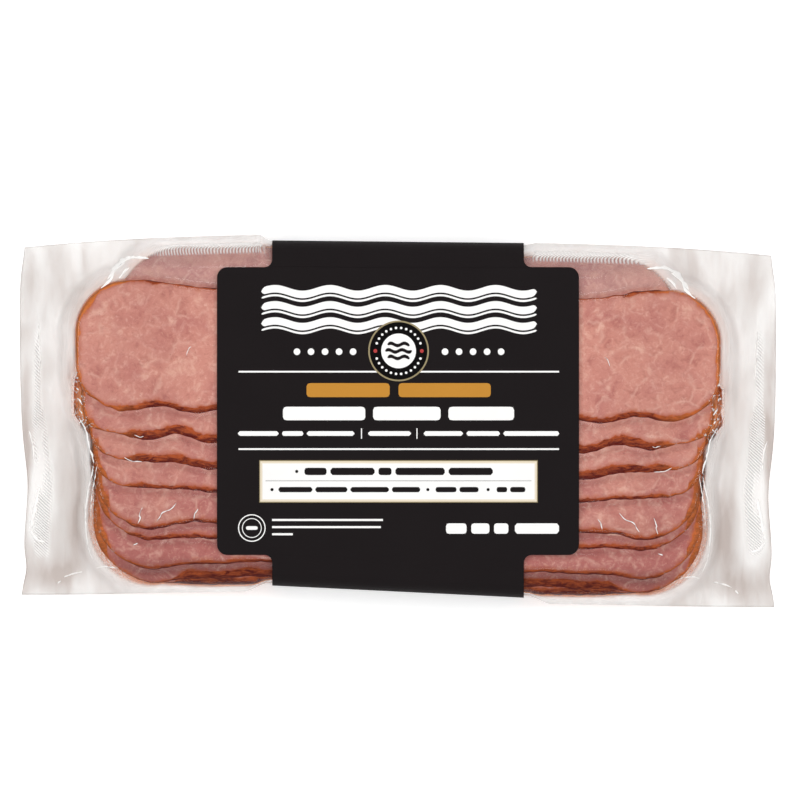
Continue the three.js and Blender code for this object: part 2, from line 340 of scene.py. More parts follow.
def station(x, y):
    """Distance outside the bacon, the run of the film's wall and the distance from the film's edge."""
    across = y - centre_line(x)
    middle, half = pouch_span(x)
    edge = max(0, min(half - abs(y - middle), half_length(x, y) - abs(x)))
    top, inside = shingles(x, across)
    outside = max(-inside, LEAST_WALL - edge)
    run = min(WALL_RUN, WALL_SHARE * (max(outside, 0) + edge))
    return top, outside, run, edge


def film_over(x, y, clearance):
    """Upper side of the film, the wall's share of its fall to the flange, and the distances from the film's
    edge and outside the bacon."""
    top, outside, run, edge = station(x, y)
    wall = smooth(outside / run)
    return mix(top + clearance, flange_height(x, y), wall), wall, edge, outside


def film_under(x, y):
    """Underside of the film, flat under the bacon and up at the flange outside it."""
    _, outside, run, _ = station(x, y)
    rest = BOARD + GAP if abs(x) < SLEEVE_HALF_WIDTH + 1 else 0
    rise = smooth((outside + FOOT_RUN) / (run + FOOT_RUN))
    return mix(rest, flange_height(x, y) - FLANGE_THICKNESS, rise)


def sleeve_height(x, y):
    """Outer face of the sleeve's front panel."""
    section = (y - sleeve_line(x)) * SLEEVE_HALF_DEPTH / sleeve_half_depth(x)
    fall = SIDE_FALL * abs(section / STACK_HALF_DEPTH) ** 2.6
    return STACK_HEIGHT * (1 - fall) + SLICE_CLEARANCE + TOP_GAP + BOARD


# The place of the pouch's middle in the frame, read off the sleeve's box
SLEEVE_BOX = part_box("board_sleeve")
SHIFT = Vector(
    (
        (SLEEVE_BOX[0].x + SLEEVE_BOX[1].x) / 2 / MM,
        SLEEVE_BOX[0].y / MM - sleeve_line(SLEEVE_HALF_WIDTH) + sleeve_half_depth(SLEEVE_HALF_WIDTH),
        0,
    )
)


# Settings that a user would change


def colour_setting(name, description, hex_colour):
    """A colour among the settings."""
    return bpy.props.FloatVectorProperty(
        name=name, description=description, subtype="COLOR", default=linear(hex_colour)
    )


class BaconSettings(bpy.types.PropertyGroup):
    """Sizes and colours of the slices."""

    thickness: bpy.props.FloatProperty(
        name="Thickness", description="Thickness of one slice", default=0.0014, unit="LENGTH"
    )
    rind_share: bpy.props.FloatProperty(
        name="Rind Share", description="Width of the smoked edge against the usual", default=1.0
    )
    meat_light: colour_setting("Light Meat", "Paler meat", "#CF9385")
    meat_rose: colour_setting("Rose Meat", "Rosier meat", "#B6716C")
    meat_deep: colour_setting("Deep Meat", "Darker meat", "#A25A54")
    fat: colour_setting("Fat", "Fat and pale fibres", "#F0CDBB")
    rind: colour_setting("Rind", "Smoked edge", "#B65628")
    rind_pale: colour_setting("Pale Rind", "Thin smoke on the stack's ends", "#EE8E42")
    # The darkest smoke colour also serves as painted shade at each slice's foot
    dark_rind_and_shadow: colour_setting("Dark Rind", "Darkest smoke", "#5E0F04")


class FilmSettings(bpy.types.PropertyGroup):
    """Sizes and look of the clear film."""

    clearance: bpy.props.FloatProperty(
        name="Clearance", description="Room between bacon and film", default=0.0003, unit="LENGTH"
    )
    crease: bpy.props.FloatProperty(
        name="Crease Height", description="Height of the film's sharp creases", default=0.0003, unit="LENGTH"
    )
    knurl: bpy.props.FloatProperty(
        name="Knurl Pitch", description="Spacing of the seal's ridges", default=0.0009, unit="LENGTH"
    )
    clear: colour_setting("Clear", "Tint of the clear film", "#FEFEFE")
    # The cloudy film's colour runs from the dull end below, for painted shade, to the white end, for painted
    # highlights
    white: colour_setting("White", "Cloudy film at its palest", "#FFFDFB")
    painted_shade_grey: colour_setting("Grey", "Cloudy film at its dullest", "#CEC2BC")


class SleeveSettings(bpy.types.PropertyGroup):
    """Colours of the printed board."""

    print_height: bpy.props.FloatProperty(
        name="Print Height", description="How far the ink stands on the board", default=0.00006, unit="LENGTH"
    )
    black: colour_setting("Black", "Board colour", "#1C1819")
    white: colour_setting("White", "White ink", "#F4F3F1")
    gold: colour_setting("Gold", "Gold ink", "#BF8636")
    tan: colour_setting("Tan", "Tan ink", "#978A6A")
    cream: colour_setting("Cream", "Cream ink", "#E4D8C2")
    red: colour_setting("Red", "Red ink", "#B04040")


class StudioSettings(bpy.types.PropertyGroup):
    """Light and camera."""

    key_power: bpy.props.FloatProperty(name="Key Power", description="Power of each side light", default=2.1)
    fill: bpy.props.FloatProperty(name="Fill", description="Strength of the white surroundings", default=0.45)
    front_power: bpy.props.FloatProperty(
        name="Front Power", description="Power of the polarised light by the camera", default=205
    )
    glow: bpy.props.FloatProperty(name="Glow", description="Light of the table itself", default=0.35)
    camera_height: bpy.props.FloatProperty(
        name="Camera Height", description="Height of the camera over the pack", default=8.0, unit="LENGTH"
    )


# Pieces


def add_block(bm, columns, rows, place, cuts=0):
    """Adds a closed block and bends it with place, which takes a point of a unit block from -1 to 1 along
    and across and from 0 to 1 up, and gives the point in millimetres. A block with cuts in its walls has
    its bmesh to itself."""
    verts = bmesh.ops.create_grid(bm, x_segments=columns, y_segments=rows, size=1)["verts"]
    faces = list({face for vert in verts for face in vert.link_faces})
    grown = bmesh.ops.extrude_face_region(bm, geom=faces)["geom"]
    raised = {item for item in grown if isinstance(item, bmesh.types.BMVert)}
    bmesh.ops.translate(bm, verts=list(raised), vec=(0, 0, 1))
    block = set(verts) | raised
    if cuts:
        walls = [edge for vert in raised for edge in vert.link_edges if edge.other_vert(vert) not in raised]
        bmesh.ops.subdivide_edges(bm, edges=walls, cuts=cuts, use_grid_fill=True)
        block = bm.verts
    for vert in block:
        vert.co = place(vert, *vert.co)


def finish_piece(context, name, bm, material, slot, sharp=40):
    for vert in bm.verts:
        vert.co = (vert.co + SHIFT) * MM
    bmesh.ops.recalc_face_normals(bm, faces=bm.faces)
    mesh = bpy.data.meshes.new(name)
    bm.to_mesh(mesh)
    bm.free()
    mesh.shade_smooth()
    mesh.set_sharp_from_angle(angle=math.radians(sharp))
    mesh.materials.append(material)
    piece = bpy.data.objects.new(name, mesh)
    context.scene.collection.objects.link(piece)
    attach(piece, "root")
    return piece


# Materials


def new_material(name):
    """An empty node material and its tree."""
    material = bpy.data.materials.new(name)
    material.use_nodes = True
    material.node_tree.nodes.clear()
    return material, material.node_tree


def add_node(tree, kind, inputs=(), **fields):
    """Adds a node, sets its fields, and sets or links its inputs, given in order or by name or number. A
    node given as an input stands for its first output, and a colour is red, green and blue. The share and
    the two colours of a Mix node are its inputs 0, 6 and 7."""
    node = tree.nodes.new(kind)
    for field, value in fields.items():
        setattr(node, field, value)
    for socket, value in inputs.items() if isinstance(inputs, dict) else enumerate(inputs):
        target = node.inputs[socket]
        if isinstance(value, bpy.types.Node):
            value = next(output for output in value.outputs if output.enabled)
        if isinstance(value, bpy.types.NodeSocket):
            tree.links.new(value, target)
        elif target.type == "RGBA":
            target.default_value = (*value, 1)
        else:
            target.default_value = value
    return node


def cured_meat(settings):
    """Cured, smoked, formed meat: moist pink chunks pressed together, with pale seams and fibres, and an
    orange-brown smoked edge. The attribute edge_distance gives millimetres from the slice's edge, or how
    far down the edge a place is where negative, tone the slice's own shade, and glow how bright an orange
    its smoked edge has."""
    material, tree = new_material("cured_smoked_meat")
    place = add_node(tree, "ShaderNodeTexCoord").outputs["Object"]
    edge, tone, glow = (
        add_node(tree, "ShaderNodeAttribute", attribute_name=name).outputs["Fac"]
        for name in ("edge_distance", "tone", "glow")
    )

    # Chunks of meat about 12 mm across, their outlines bent by a slower noise
    slow = add_node(tree, "ShaderNodeTexNoise", {"Vector": place, "Scale": 1 / (9 * MM), "Detail": 3})
    reach = (9 * MM, 9 * MM, 9 * MM)
    bent = add_node(
        tree, "ShaderNodeVectorMath", (slow.outputs["Color"], reach, place), operation="MULTIPLY_ADD"
    )
    chunk, seam = (
        add_node(tree, "ShaderNodeTexVoronoi", {"Vector": bent, "Scale": 1 / (12 * MM)}, feature=feature)
        for feature in ("F1", "DISTANCE_TO_EDGE")
    )
    chunk_tone = add_node(tree, "ShaderNodeSeparateColor", (chunk.outputs["Color"],))

    # Noises, each with the size of its blots in millimetres
    drawn = add_node(tree, "ShaderNodeMapping", {"Vector": place, "Scale": (0.3, 1.0, 1.0)})
    areas, patches, fibres, specks, lumps, threads = (
        add_node(
            tree,
            "ShaderNodeTexNoise",
            {
                "Vector": vector,
                "Scale": 1 / (size * MM),
                "Detail": detail,
                "Roughness": rough,
                "Distortion": twist,
            },
        )
        for vector, size, detail, rough, twist in (
            (place, 16, 3, 0.55, 0.6),
            (place, 5, 4, 0.6, 0.5),
            (place, 2.4, 6, 0.72, 1.6),
            (place, 0.9, 2, 0.5, 0),
            (bent, 6, 3, 0.5, 0.5),
            (drawn, 1.3, 4, 0.7, 0.8),
        )
    )

    # Rosier in areas, in darker slices and in some chunks; seams break off here and there
    rosy = add_node(tree, "ShaderNodeMath", (tone, 0.45, areas), operation="MULTIPLY_ADD")
    rosy = add_node(tree, "ShaderNodeMath", (chunk_tone, 0.14, rosy), operation="MULTIPLY_ADD")
    seamed = add_node(tree, "ShaderNodeMapRange", (seam, 0.08, 0))
    broken = add_node(tree, "ShaderNodeMapRange", (patches, 0.45, 0.6))
    seamed = add_node(tree, "ShaderNodeMath", (seamed, broken), operation="MULTIPLY")

    # Smoke soaks in unevenly for a millimetre or so
    wander = add_node(tree, "ShaderNodeMapRange", (patches, 0.35, 0.65, -0.9, 0.9))
    soaked = add_node(tree, "ShaderNodeMath", (edge, wander), operation="ADD")

    # Coats of colour: each comes in where its pattern goes from one value to the next, up to a share
    flesh = settings.meat_light
    for pattern, start, full, share, colour in (
        (rosy, 0.52, 0.9, 0.85, settings.meat_rose),
        (tone, 0.2, 1, 0.3, settings.meat_deep),
        (patches, 0.54, 0.7, 0.45, settings.meat_deep),
        (patches, 0.46, 0.28, 0.45, settings.fat),
        (fibres, 0.54, 0.72, 0.42, settings.fat),
        (fibres, 0.46, 0.32, 0.36, settings.meat_deep),
        (seamed, 0, 1, 0.36, settings.fat),
        (lumps, 0.7, 0.8, 0.6, settings.fat),
        (specks, 0.68, 0.76, 0.45, settings.meat_deep),
        (soaked, 1.6, 0.1, 0.6, settings.rind),
    ):
        amount = add_node(tree, "ShaderNodeMapRange", (pattern, start, full, 0, share))
        flesh = add_node(tree, "ShaderNodeMix", {0: amount, 6: flesh, 7: colour}, data_type="RGBA")

    # The cut edge itself is streaked, and darkest at its foot: the dark colour there is partly the rind's own
    # smoke and partly painted shade in the crack under the slice
    streaks = add_node(tree, "ShaderNodeMath", (threads, 4.5, edge), operation="MULTIPLY_ADD")
    streaks = add_node(tree, "ShaderNodeMapRange", (streaks, 1.45, 2.6))
    bright = add_node(tree, "ShaderNodeMath", (glow, 0.75), operation="MULTIPLY")
    smoke = settings.dark_rind_and_shadow
    for amount, colour in ((streaks, settings.rind), (bright, settings.rind_pale)):
        smoke = add_node(tree, "ShaderNodeMix", {0: amount, 6: smoke, 7: colour}, data_type="RGBA")
    cut = add_node(tree, "ShaderNodeMapRange", (soaked, -0.3, 0.25, 1, 0))
    very_edge = add_node(tree, "ShaderNodeMapRange", (edge, 0, 0.3, 1, 0))
    cut = add_node(tree, "ShaderNodeMath", (cut, very_edge), operation="MAXIMUM")
    colour = add_node(tree, "ShaderNodeMix", {0: cut, 6: flesh, 7: smoke}, data_type="RGBA")

    relief = add_node(tree, "ShaderNodeMath", (fibres, specks), operation="ADD")
    bump = add_node(tree, "ShaderNodeBump", {"Height": relief, "Strength": 0.35, "Distance": 0.4 * MM})
    shader = add_node(
        tree,
        "ShaderNodeBsdfPrincipled",
        {
            "Base Color": colour,
            "Roughness": add_node(tree, "ShaderNodeMapRange", (patches, 0.3, 0.7, 0.4, 0.6)),
            "Normal": bump,
            "IOR": 1.4,
            "Specular IOR Level": 0.3,
        },
    )
    add_node(tree, "ShaderNodeOutputMaterial", {"Surface": shader})
    return material


def smoked_ends(settings):
    """The smoked, orange outsides of the slices in the stack, wet with brine under the film, in streaks
    that are about 2 mm wide and drawn out across the pack."""
    material, tree = new_material("smoked_slice_ends")
    place = add_node(tree, "ShaderNodeTexCoord").outputs["Object"]
    drawn = add_node(tree, "ShaderNodeMapping", {"Vector": place, "Scale": (1.0, 0.35, 1.0)})
    streaks = add_node(
        tree,
        "ShaderNodeTexNoise",
        {"Vector": drawn, "Scale": 1 / (2.2 * MM), "Detail": 4, "Roughness": 0.65, "Distortion": 0.8},
    )
    paler = add_node(tree, "ShaderNodeMapRange", (streaks, 0.28, 0.52))
    colours = {0: paler, 6: settings.rind, 7: settings.rind_pale}
    shader = add_node(
        tree,
        "ShaderNodeBsdfPrincipled",
        {
            "Base Color": add_node(tree, "ShaderNodeMix", colours, data_type="RGBA"),
            "Roughness": 0.4,
            "Normal": add_node(
                tree, "ShaderNodeBump", {"Height": streaks, "Strength": 0.4, "Distance": 0.6 * MM}
            ),
            "IOR": 1.4,
        },
    )
    add_node(tree, "ShaderNodeOutputMaterial", {"Surface": shader})
    return material


def sealed_film(settings):
    """Clear nylon and polyethylene film: drawn tight on the meat, cloudy and wrinkled in the sealed flange,
    with a knurled seal. The attributes cloud, seal, shade and crinkle say how much of each a place has."""
    material, tree = new_material("clear_packing_film")
    place = add_node(tree, "ShaderNodeTexCoord").outputs["Object"]
    # The shade attribute carries painted highlights, painted reflection, painted shade and the folds' painted
    # glints
    cloud, seal, shade, crinkle = (
        add_node(tree, "ShaderNodeAttribute", attribute_name=name).outputs["Fac"]
        for name in ("cloud", "seal", "shade", "crinkle")
    )

    # Noises, each with the size of its blots in millimetres
    drawn = add_node(tree, "ShaderNodeMapping", {"Vector": place, "Scale": (1.0, 0.3, 0.6)})
    broad, wrinkles, crackle, painted_sparkles = (
        add_node(
            tree,
            "ShaderNodeTexNoise",
            {
                "Vector": vector,
                "Scale": 1 / (size * MM),
                "Detail": detail,
                "Roughness": rough,
                "Distortion": twist,
            },
        )
        for vector, size, detail, rough, twist in (
            (drawn, 9, 2, 0.5, 0.3),
            (drawn, 4, 3, 0.5, 0.8),
            (place, 1.8, 3, 0.6, 0.5),
            (place, 1.3, 2, 0.6, 0),
        )
    )

    # The seal's ridges slant, and are drawn a little coarser than the real 0.6 mm, which would not show. The
    # wave node makes 10 / (2 pi) waves for each unit of scale along an axis, and root 2 times that aslant
    ridge_scale = 2 * math.pi / 10 / (settings.knurl * math.sqrt(2))
    ridges = add_node(
        tree,
        "ShaderNodeTexWave",
        {"Vector": place, "Scale": ridge_scale, "Distortion": 0.3, "Detail": 1},
        bands_direction="DIAGONAL",
    )
    knurl = add_node(tree, "ShaderNodeMath", (ridges.outputs["Fac"], seal), operation="MULTIPLY")

    # Loose film is wrinkled, wet film crackled and the seal ridged, one relief over the other
    slackness = add_node(tree, "ShaderNodeMapRange", (cloud, 0, 1, 0.05, 0.35))
    relief = add_node(
        tree, "ShaderNodeBump", {"Height": wrinkles, "Strength": slackness, "Distance": 1.2 * MM}
    )
    for height, strength, reach in ((crackle, crinkle, 2), (knurl, 0.7, 0.4)):
        inputs = {"Height": height, "Strength": strength, "Distance": reach * MM, "Normal": relief}
        relief = add_node(tree, "ShaderNodeBump", inputs)

    # Cloudy film goes from dull to white in drawn-out bands, which paint the shading of its wrinkles, and the
    # shade attribute adds painted highlights and painted shade. The pressed seal is greyer, with white
    # ridges. Where it is painted palest the film is also thinner, so that the white table shows through as a
    # highlight
    paler = broad
    for part, weight in ((shade, 0.5), (knurl, 1.7), (seal, -0.42), (wrinkles, 0.4)):
        paler = add_node(tree, "ShaderNodeMath", (part, weight, paler), operation="MULTIPLY_ADD")
    painted_light_share = add_node(tree, "ShaderNodeMapRange", (paler, 0.22, 0.84))
    colours = {0: painted_light_share, 6: settings.painted_shade_grey, 7: settings.white}
    milk_with_painted_light = add_node(tree, "ShaderNodeMix", colours, data_type="RGBA")
    thick = add_node(tree, "ShaderNodeMapRange", (paler, 0.35, 1.15, 0.75, 0.45))
    haze = add_node(tree, "ShaderNodeMath", (cloud, thick), operation="MULTIPLY")
    haze = add_node(tree, "ShaderNodeMath", (knurl, 0.8, haze), operation="MULTIPLY_ADD")

    # Where brine wets the film on the stack's ends it shines less, and small white specks are painted on as
    # sparkling highlights
    painted_sparkles = add_node(tree, "ShaderNodeMapRange", (painted_sparkles, 0.58, 0.63))
    painted_sparkles = add_node(tree, "ShaderNodeMath", (painted_sparkles, crinkle), operation="MULTIPLY")
    haze = add_node(tree, "ShaderNodeMath", (haze, painted_sparkles), operation="MAXIMUM")
    dulled = add_node(tree, "ShaderNodeMapRange", (crinkle, 0, 0.5, 1, 0.3))
    shine = add_node(tree, "ShaderNodeFresnel", {"IOR": 1.27, "Normal": relief})
    shine = add_node(tree, "ShaderNodeMath", (shine, dulled), operation="MULTIPLY")

    clear = add_node(tree, "ShaderNodeBsdfTransparent", {"Color": settings.clear})
    cloudy = add_node(tree, "ShaderNodeBsdfDiffuse", {"Color": milk_with_painted_light, "Normal": relief})
    gloss = add_node(
        tree, "ShaderNodeBsdfGlossy", {"Color": linear("#FFFFFF"), "Roughness": 0.1, "Normal": relief}
    )
    body = add_node(tree, "ShaderNodeMixShader", (haze, clear, cloudy))
    film = add_node(tree, "ShaderNodeMixShader", (shine, body, gloss))
    add_node(tree, "ShaderNodeOutputMaterial", {"Surface": film})
    return material


def printed_board(name, colour, roughness):
    """Coated folding boxboard under flat ink: even and dull, with a faint fibre in the coating."""
    material, tree = new_material(name)
    place = add_node(tree, "ShaderNodeTexCoord").outputs["Object"]
    fibre, cloud = (
        add_node(
            tree,
            "ShaderNodeTexNoise",
            {"Vector": place, "Scale": 1 / (size * MM), "Detail": detail, "Roughness": rough},
        )
        for size, detail, rough in ((1.6, 3, 0.6), (22, 2, 0.5))
    )
    paler = tuple(c * 1.12 + 0.0008 for c in colour)
    dullness = (fibre, 0.3, 0.7, roughness - 0.05, roughness + 0.05)
    shader = add_node(
        tree,
        "ShaderNodeBsdfPrincipled",
        {
            "Base Color": add_node(tree, "ShaderNodeMix", {0: cloud, 6: colour, 7: paler}, data_type="RGBA"),
            "Roughness": add_node(tree, "ShaderNodeMapRange", dullness),
            "Normal": add_node(
                tree, "ShaderNodeBump", {"Height": fibre, "Strength": 0.12, "Distance": 0.2 * MM}
            ),
            "Specular IOR Level": 0.05,
        },
    )
    add_node(tree, "ShaderNodeOutputMaterial", {"Surface": shader})
    return material


def studio_floor(glow):
    """White opal acrylic table top, lit softly from below, even but for a faint cloud 300 mm wide."""
    material, tree = new_material("opal_acrylic_table")
    place = add_node(tree, "ShaderNodeTexCoord").outputs["Object"]
    cloud = add_node(tree, "ShaderNodeTexNoise", {"Vector": place, "Scale": 1 / (300 * MM), "Detail": 3})
    shades = {0: cloud, 6: linear("#FAFAFA"), 7: linear("#FDFDFD")}
    shade = add_node(tree, "ShaderNodeMix", shades, data_type="RGBA")
    shader = add_node(
        tree,
        "ShaderNodeBsdfPrincipled",
        {"Base Color": shade, "Roughness": 0.9, "Emission Color": shade, "Emission Strength": glow},
    )
    add_node(tree, "ShaderNodeOutputMaterial", {"Surface": shader})
    return material


# Operators


class BACON_OT_slices(bpy.types.Operator):
    """Builds the shingled slices that show through the film"""

    bl_idname = "bacon.slices"
    bl_label = "Make Slices"

    def execute(self, context):
        settings = context.scene.bacon_slices
        meat = cured_meat(settings)
        for number, piece in enumerate(SLICES):
            self.make_slice(context, settings, number, piece, meat)
        return {"FINISHED"}

    def make_slice(self, context, settings, number, piece, meat):
        thickness = settings.thickness / MM
        rind_share = settings.rind_share
        bm = bmesh.new()
        edge_layer = bm.verts.layers.float.new("edge_distance")
        tone_layer = bm.verts.layers.float.new("tone")
        glow_layer = bm.verts.layers.float.new("glow")
        topmost = number == len(SLICES) - 1
        paler_upwards = 0.9 * smooth((number - 1) / (len(SLICES) - 3)) if number else 0.7
        tone = 1 - paler_upwards + 0.2 * noise.noise(Vector((number * 1.7, 0.3, 0)))

        def rind(x, side):
            """Width of the slanted smoked edge: it comes and goes, and is widest near the sleeve."""
            wander = 0.5 + 0.5 * noise.noise(Vector((x / 7, side * 1.5, number * 3.1)))
            frayed = 0.5 + 0.5 * noise.noise(Vector((x / 1.6, side * 2, number * 5.3)))
            near = smooth((piece.rind_from - abs(x)) / 7)

            # The lower edge has smoked spots and ends far out, and the slice's own rind near the sleeve
            blob = 0 if topmost else 1.5 * smooth(1 - abs(abs(x) - 111) / 6)
            ends = (1.5 if number < 7 else 0.5) * smooth((abs(x) - 98) / 8)
            spots = 0.7 * smooth((wander - 0.6) / 0.25) + max(blob, ends)
            lower = 0.25 + rind_share * mix(spots, piece.rind * (0.45 + 0.75 * wander + 0.35 * frayed), near)

            # The upper edge has thin spots, and the topmost slice a smoked band round its ends
            upper = 0.2 + rind_share * (0.9 * smooth((wander - 0.5) / 0.25) if number else 0)
            upper += rind_share * ((0.3 + 0.7 * frayed) * smooth((abs(x) - 98) / 12) if topmost else 0)
            return mix(upper, lower, smooth(0.5 - side))

        def place(vert, u, v, w):
            side = bunch(v, 0.7)
            drawn_in = rind(u * piece.reach, side) * w**1.4
            x = bunch(u, 0.85) * (piece.reach - drawn_in)
            low, high = slice_span(piece, abs(x), drawn_in)
            ragged = EDGE_NOISE * noise.noise(Vector((x / EDGE_NOISE_LENGTH, number * 2.7, side)))
            across = mix(low, high, (side + 1) / 2) + ragged * side**6
            across = max(across, near_edge(x) + mix(1.5, 1.8, w))
            level = dome(x, across) + ripple(x, across) - SLICE_STEP * laps_over(number + 1, x, across)

            # What the meat's material reads; the lowest slice shows no rind
            on_wall = 0 < w < 1 or abs(u) == 1 or abs(v) == 1
            distance = max(inside_slice(piece, x, across) - drawn_in, 0)
            # On its wall the edge value falls to -1 at the slice's foot, where the material paints its
            # darkest shade
            vert[edge_layer] = (w - 1 if on_wall else distance) if number else 2
            vert[tone_layer] = tone
            fray = 0.5 + 0.5 * noise.noise(Vector((x, across, 0)) / 2.6)
            bright = mix(0.4, mix(0.6, 1, fray), smooth((across - 12) / 10)) if topmost else 0.4
            vert[glow_layer] = bright * smooth((abs(x) - 96) / 14)

            # The upper edge is a little rounded
            rounding = 0.45 * (1 - min(distance, 0.9) / 0.9) ** 2 if w == 1 else 0
            return x, across + centre_line(x), level - thickness * (1 - w) - rounding

        add_block(bm, 170, 44, place, cuts=2)
        finish_piece(context, f"bacon_slice_{number + 1:02d}", bm, meat, "bacon_in_film")


class BACON_OT_stack(bpy.types.Operator):
    """Builds the layers under the slices, which show at the sides of the pack"""

    bl_idname = "bacon.stack"
    bl_label = "Make Stack"

    def execute(self, context):
        settings = context.scene.bacon_slices
        ends = smoked_ends(settings)
        for number in range(STACK_LAYERS):
            self.make_layer(context, number, ends)
        return {"FINISHED"}

    def make_layer(self, context, number, ends):
        bm = bmesh.new()

        def span(along, inset):
            """The lowest and highest edge of all the slices, drawn in by inset."""
            spans = [slice_span(piece, along, inset) for piece in SLICES if along < piece.reach - inset]
            return min(low for low, _ in spans), max(high for _, high in spans)

        def heights(x, y):
            """The stack's floor and ceiling, clear of the film and of the slices over it."""
            across = y - centre_line(x)
            floor = film_under(x, y) + 0.35
            ceiling = dome(x, across) + ripple(x, across) - SLICE_STEP * laps_over(0, x, across) - 0.15
            return floor, max(min(ceiling, film_over(x, y, 0)[0] - 0.6), floor + 0.5)

        def place(_, u, v, w):
            wander = noise.noise(Vector((u * 7, v * 3, number * 2.3)))
            inset = 2.4 + 0.6 * wander + 0.5 * w
            flat_x = bunch(u, 0.85) * STACK_REACH
            low, high = span(abs(flat_x), inset)
            across = mix(low, high, (bunch(v, 0.7) + 1) / 2)
            at_end = smooth((abs(flat_x) - ENDS_FROM) / 24)
            at_corner = smooth((abs(flat_x) - 80) / 20) * smooth((-30 - across) / 20)
            drawn_in = end_show(across) * mix(1.2, 3.4, bulge(across)) * number / STACK_LAYERS
            push = end_spread(across) - drawn_in + 0.7 * wander
            x = flat_x + math.copysign(at_end * push, flat_x)
            across -= at_corner * (1.6 - number / STACK_LAYERS) + 2.2 * smooth((v - 0.6) / 0.3)
            y = max(across, near_edge(x) + 2) + centre_line(x)
            floor, ceiling = heights(x, y)
            step = (ceiling - floor) / STACK_LAYERS
            return x, y, floor + step * (number + 0.94 * w)

        add_block(bm, 90, 44, place, cuts=1)
        finish_piece(context, f"stack_layer_{number + 1}", bm, ends, "bacon_in_film")


class BACON_OT_film(bpy.types.Operator):
    """Builds the clear film over and under the bacon, which stands for the solid pouch"""

    bl_idname = "bacon.film"
    bl_label = "Make Film"

    columns = 240
    rows = 166
    covered = 0.12  # the share of the columns that lies under the label, with wider steps

    # Sharp folds of the film on the left half, mirrored on the right, each painted white as a glint: half the
    # width and a line of places
    creases = (
        (1, (-112, 54.5), (-110.1, 57.6), (-108, 60.5), (-105.5, 62.1), (-102.5, 63), (-96, 62.5)),
        (0.8, (-114.5, 51), (-111.3, 53.8), (-110.5, 55.2), (-109.5, 58), (-105.5, 61)),
        (0.6, (-107.5, 54.8), (-105.8, 57.3), (-103.6, 59)),
        (0.4, (-123, 1), (-120.3, -4), (-119.5, -8.5), (-117.8, -14), (-117.2, -16.5)),
        (0.4, (-117.4, -17.5), (-118.6, -23), (-119.8, -28), (-120.7, -38), (-119.6, -49), (-117.5, -54.5)),
        (0.25, (-116, -17.5), (-117.2, -24), (-118.2, -30.5), (-118.4, -37)),
        (0.35, (-116.5, -57), (-113, -56.3), (-109, -56.9)),
        (0.4, (-129, -60.5), (-125.5, -59.2), (-122, -58.5)),
        (0.35, (-131.5, -63), (-130.2, -61.8)),
        (0.3, (-98.5, -33.5), (-99.6, -36.4), (-99.4, -37.6), (-100.2, -39.8)),
        (0.3, (-85.2, -31.6), (-87.6, -34.2), (-90.6, -35.4), (-91.6, -37), (-93, -39)),
        (0.25, (-77, -34), (-78.3, -36), (-78.6, -38)),
        (0.25, (-105.5, -14.2), (-102.6, -15.6), (-98.6, -15.9)),
        (0.2, (-101.5, -5.6), (-99.3, -6.4), (-98, -6.1)),
        (0.3, (-102, -48), (-100.3, -47.3)),
        (0.2, (-81.6, 24.8), (-80.6, 27.6), (-79.6, 28.4)),
        (0.35, (-123.3, 8.5), (-122.2, 7), (-121.5, 6)),
        (0.3, (-123.5, -1.5), (-122, -0.2), (-121, 0.5)),
        (0.3, (-124, 12.5), (-123.2, 11.7)),
        (0.3, (-122.5, 3.8), (-121.7, 2.6)),
        (0.3, (-139, 38), (-138.6, 29), (-137.8, 20)),
        (0.9, (-138.6, -26), (-140.2, -34), (-141.8, -42)),
        (0.7, (-141.8, -43), (-139.5, -46), (-136.5, -47)),
        (0.4, (-142.6, -4), (-141.2, -9), (-140.8, -15)),
    )

    # Painted highlights where the amount is positive and painted shade where it is negative, on the left
    # flange's cloudy film: place, half width, half depth and amount
    shades = (
        (-139.4, 15.6, 1.3, 24, 0.6),
        (-137.2, -28, 3.8, 15, 1.5),
        (-141.5, -42, 1.5, 6, 0.8),
        (-132, 29, 5, 20, 0.2),
        (-124.5, -38.3, 6, 17, -1.1),
        (-134, -59.5, 12, 6, -0.8),
        (-143.6, -10, 2.2, 34, -1),
        (-136, 54, 9, 12, -0.4),
    )

    def execute(self, context):
        settings = context.scene.bacon_film
        clearance = settings.clearance / MM
        crease = settings.crease / MM
        points = [[self.plan(i, j) for j in range(self.rows + 1)] for i in range(self.columns + 1)]
        over = [[film_over(x, y, clearance) for x, y in line] for line in points]
        tops = self.bridge([[height for height, *_ in line] for line in over])
        bm = bmesh.new()
        layers = {name: bm.verts.layers.float.new(name) for name in ("cloud", "seal", "shade", "crinkle")}

        def place(vert, u, v, w):
            i = round((u + 1) / 2 * self.columns)
            j = round((v + 1) / 2 * self.rows)
            x, y = points[i][j]
            _, wall, edge, outside = over[i][j]
            for name, value in self.look(x, y, outside, edge).items():
                vert[layers[name]] = value
            if w == 0:
                return x, y, film_under(x, y)
            loose = wall * smooth(edge / 3) * smooth((outside - 4) / 7)
            return x, y, tops[i][j] + loose * self.wrinkle(x, y)

        add_block(bm, self.columns, self.rows, place)
        film = sealed_film(settings)
        piece = finish_piece(context, "film_pouch", bm, film, "clear_film", sharp=180)
        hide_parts("sealed_pouch")
        self.make_glinting_creases(context, film, crease)
        return {"FINISHED"}

    def look(self, x, y, outside, edge):
        """What the film's material reads at a place: how cloudy it is, how strong the seal's ridges are, how
        pale the cloud is and how wet and crinkled the film is over the smoked ends."""
        across = y - centre_line(x)
        middle = bulge(across)
        shows = end_show(across) * smooth((abs(x) - ENDS_FROM) / 20)

        # The cloud begins at the slices' edge, or past the smoked ends where they show
        past_ends = min(outside, abs(x) - STACK_REACH - end_spread(across))
        past_slices = outside + 0.6 * smooth((across - 50) / 6) * smooth((abs(x) - 80) / 12)
        past_shown = mix(outside - 1.4, past_ends, smooth((across + 25) / 10))
        past = mix(past_slices, past_shown, shows)

